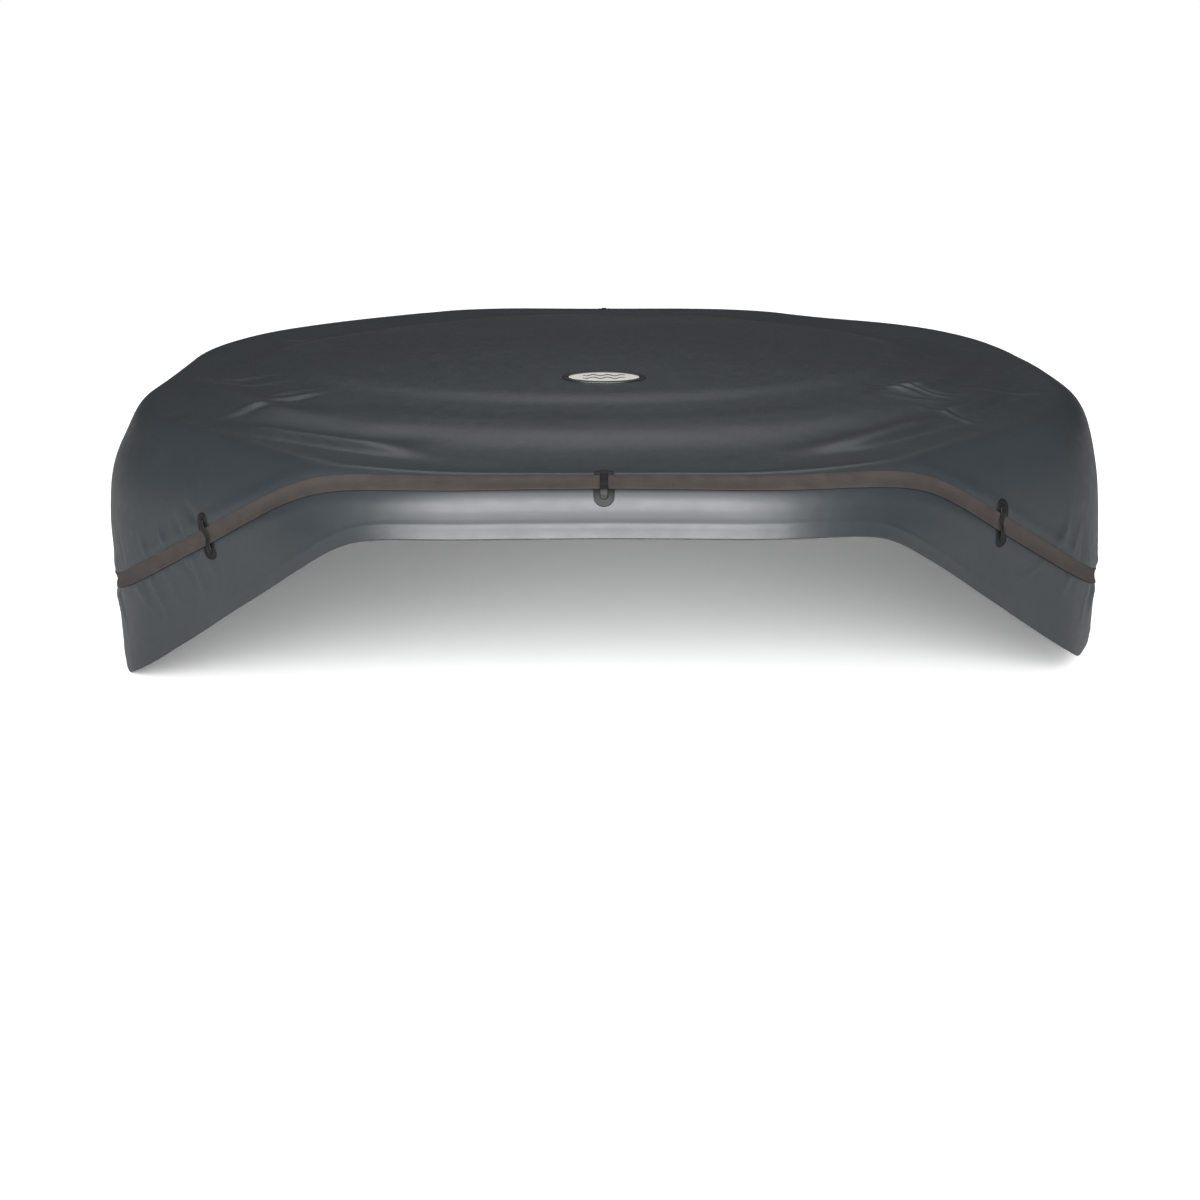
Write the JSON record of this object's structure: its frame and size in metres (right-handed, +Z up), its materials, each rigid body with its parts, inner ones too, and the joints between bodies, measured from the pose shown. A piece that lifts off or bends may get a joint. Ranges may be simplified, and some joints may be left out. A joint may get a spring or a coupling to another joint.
{
  "type": "spa cover",
  "caption": "Soft fitted cover for an octagonal inflatable spa, domed by a zipped-in bladder, with a looped webbing belt, a buckle and low side flaps.",
  "frame": {"origin": "on the floor under the middle of the cover, at the height of the lowest hem of its two side flaps", "axes": "+Z up, -Y to the front (the side with the badge), +X to the right as seen from the front"},
  "size_m": [2.05, 2.0186, 0.6047],
  "materials": {
    "cover_vinyl": "satin",
    "hem_vinyl": "satin",
    "seam_tape": "satin",
    "liner_foil": "satin",
    "bladder_vinyl": "satin",
    "belt_webbing": "matte",
    "loop_patch_vinyl": "satin",
    "loop_bridge_vinyl": "gloss",
    "badge_black": "satin",
    "badge_plate": "satin",
    "buckle_plastic": "satin",
    "zip_tape": "matte",
    "zip_teeth": "satin",
    "zip_metal": "satin",
    "valve_plastic": "satin",
    "valve_rubber": "matte"
  },
  "bodies": {
    "cover": {"badge_plate": "badge_plate", "badge_surround": "badge_black", "belt": "belt_webbing", "belt_socket_end": "belt_webbing", "bladder_beam_1": "bladder_vinyl", "bladder_beam_2": "bladder_vinyl", "bladder_beam_3": "bladder_vinyl", "bladder_beam_4": "bladder_vinyl", "bladder_beam_5": "bladder_vinyl", "bladder_lower_sheet": "bladder_vinyl", "bladder_upper_sheet": "bladder_vinyl", "buckle_socket": "buckle_plastic", "corner_seam_tapes": "seam_tape", "crown_panel": "cover_vinyl", "hem_facing": "hem_vinyl", "liner": "liner_foil", "loop_bridge_back": "loop_bridge_vinyl", "loop_bridge_back_left": "loop_bridge_vinyl", "loop_bridge_back_right": "loop_bridge_vinyl", "loop_bridge_front": "loop_bridge_vinyl", "loop_bridge_front_left": "loop_bridge_vinyl", "loop_bridge_front_right": "loop_bridge_vinyl", "loop_bridge_left": "loop_bridge_vinyl", "loop_bridge_right": "loop_bridge_vinyl", "loop_patch_back": "loop_patch_vinyl", "loop_patch_back_left": "loop_patch_vinyl", "loop_patch_back_right": "loop_patch_vinyl", "loop_patch_front": "loop_patch_vinyl", "loop_patch_front_left": "loop_patch_vinyl", "loop_patch_front_right": "loop_patch_vinyl", "loop_patch_left": "loop_patch_vinyl", "loop_patch_right": "loop_patch_vinyl", "skirt_back": "cover_vinyl", "skirt_back_left": "cover_vinyl", "skirt_back_right": "cover_vinyl", "skirt_front": "cover_vinyl", "skirt_front_left": "cover_vinyl", "skirt_front_right": "cover_vinyl", "skirt_left": "cover_vinyl", "skirt_right": "cover_vinyl", "valve_body": "valve_plastic", "valve_seal": "valve_rubber", "zip_end_stops": "zip_metal", "zip_tape_front": "zip_tape", "zip_tape_rear": "zip_tape", "zip_teeth_front": "zip_teeth", "zip_teeth_rear": "zip_teeth"},
    "buckle_plug": {"buckle_plug": "buckle_plastic", "belt_plug_end": "belt_webbing"},
    "buckle_arm_upper": {"buckle_arm_upper": "buckle_plastic"},
    "buckle_arm_lower": {"buckle_arm_lower": "buckle_plastic"},
    "zip_slider": {"zip_slider": "zip_metal"},
    "zip_pull": {"zip_pull": "zip_metal"},
    "valve_cap": {"valve_cap": "valve_plastic"}
  },
  "joints": [
    {"name": "buckle_release", "type": "slide", "parent": "cover", "child": "buckle_plug", "axis": [0.6175, -0.6175, -0.4873], "range_m": [0, 0.032]},
    {"name": "buckle_squeeze_upper", "type": "hinge", "parent": "buckle_plug", "child": "buckle_arm_upper", "pos_m": [0.8005, 0.6509, 0.35643], "axis": [0.7071, 0.7071, 0], "range_deg": [-6, 0], "stiffness_Nm_per_rad": 0.05},
    {"name": "buckle_squeeze_lower", "type": "hinge", "parent": "buckle_plug", "child": "buckle_arm_lower", "pos_m": [0.79292, 0.65848, 0.33722], "axis": [0.7071, 0.7071, 0], "range_deg": [0, 6], "stiffness_Nm_per_rad": 0.05},
    {"name": "zip_run", "type": "slide", "parent": "cover", "child": "zip_slider", "axis": [1, 0, 0], "range_m": [-0.8, 0]},
    {"name": "zip_pull_swing", "type": "hinge", "parent": "zip_slider", "child": "zip_pull", "pos_m": [0.396, 0.68, 0.52905], "axis": [0, 1, 0], "range_deg": [-75, 75]},
    {"name": "valve_cap_open", "type": "hinge", "parent": "cover", "child": "valve_cap", "pos_m": [-0.56, 0.617, 0.528], "axis": [1, 0, 0], "range_deg": [0, 120]}
  ]
}
